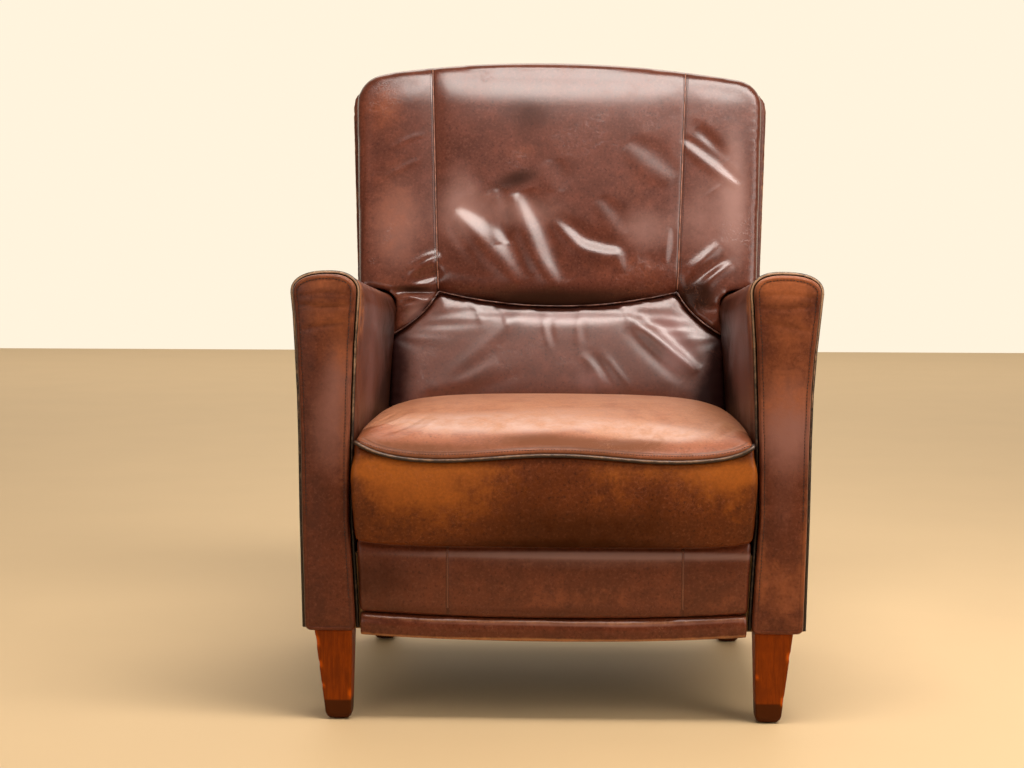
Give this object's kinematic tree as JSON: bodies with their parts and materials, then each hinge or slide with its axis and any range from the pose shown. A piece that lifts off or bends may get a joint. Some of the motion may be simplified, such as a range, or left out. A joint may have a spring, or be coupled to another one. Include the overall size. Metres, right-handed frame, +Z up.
{
  "type": "worn club chair",
  "caption": "Worn brown leather club chair: sprung seat, leaning padded back, flared piped arms and short tapered wooden legs on a hardwood frame.",
  "frame": {"origin": "bottom centre of the chair's bounding box, on the floor", "axes": "+Z up, -Y out of the front of the seat, +X towards the right-hand arm for someone who faces the chair"},
  "size_m": [0.757, 0.85, 1.005],
  "materials": {
    "seat_leather": "worn satin, tan on top, browner on the front",
    "back_leather": "creased semi-gloss brown",
    "lumbar_leather": "semi-gloss plum brown",
    "arm_leather": "satin brown, rubbed orange on the tops",
    "base_leather": "satin dark maroon brown",
    "outer_leather": "satin brown",
    "piping": "nearly black cord, rubbed",
    "leg_wood": "cherry stain with darker tips, satin lacquer",
    "frame_wood": "raw beech",
    "spring_steel": "oiled wire",
    "bolt_steel": "zinc plated",
    "glide_nylon": "dull",
    "elastic": "woven strap",
    "felt": "needled felt",
    "dust_cloth": "black non-woven cloth"
  },
  "bodies": {
    "root": {"arm_front_panel_left": "arm_leather", "arm_front_panel_right": "arm_leather", "arm_pad_left": "arm_leather", "arm_pad_right": "arm_leather", "arm_rail_left": "frame_wood", "arm_rail_right": "frame_wood", "arm_welt_left": "piping", "arm_welt_right": "piping", "back_post_left": "frame_wood", "back_post_right": "frame_wood", "back_shell": "outer_leather", "back_strap_1": "elastic", "back_strap_2": "elastic", "back_strap_3": "elastic", "back_strap_4": "elastic", "back_top_rail": "frame_wood", "back_waist_rail": "frame_wood", "back_welt": "piping", "back_wing_left": "back_leather", "back_wing_right": "back_leather", "base_front_panel": "base_leather", "base_roll_band": "base_leather", "dust_cover": "dust_cloth", "front_corner_block_left": "frame_wood", "front_corner_block_right": "frame_wood", "front_leg_left": "leg_wood", "front_leg_left_bolt": "bolt_steel", "front_leg_left_glide": "glide_nylon", "front_leg_right": "leg_wood", "front_leg_right_bolt": "bolt_steel", "front_leg_right_glide": "glide_nylon", "front_post_left": "frame_wood", "front_post_right": "frame_wood", "front_seat_rail": "frame_wood", "lumbar_cushion": "lumbar_leather", "outer_arm_cover_left": "outer_leather", "outer_arm_cover_right": "outer_leather", "rear_corner_block_left": "frame_wood", "rear_corner_block_right": "frame_wood", "rear_leg_left": "leg_wood", "rear_leg_left_bolt": "bolt_steel", "rear_leg_left_glide": "glide_nylon", "rear_leg_right": "leg_wood", "rear_leg_right_bolt": "bolt_steel", "rear_leg_right_glide": "glide_nylon", "rear_seat_rail": "frame_wood", "seat_cushion": "seat_leather", "seat_deck_pad": "felt", "seat_side_rail_left": "frame_wood", "seat_side_rail_right": "frame_wood", "seat_spring_1": "spring_steel", "seat_spring_2": "spring_steel", "seat_spring_3": "spring_steel", "seat_spring_4": "spring_steel", "seat_spring_5": "spring_steel", "seat_welt": "piping", "upper_back_cushion": "back_leather"}
  },
  "joints": []
}
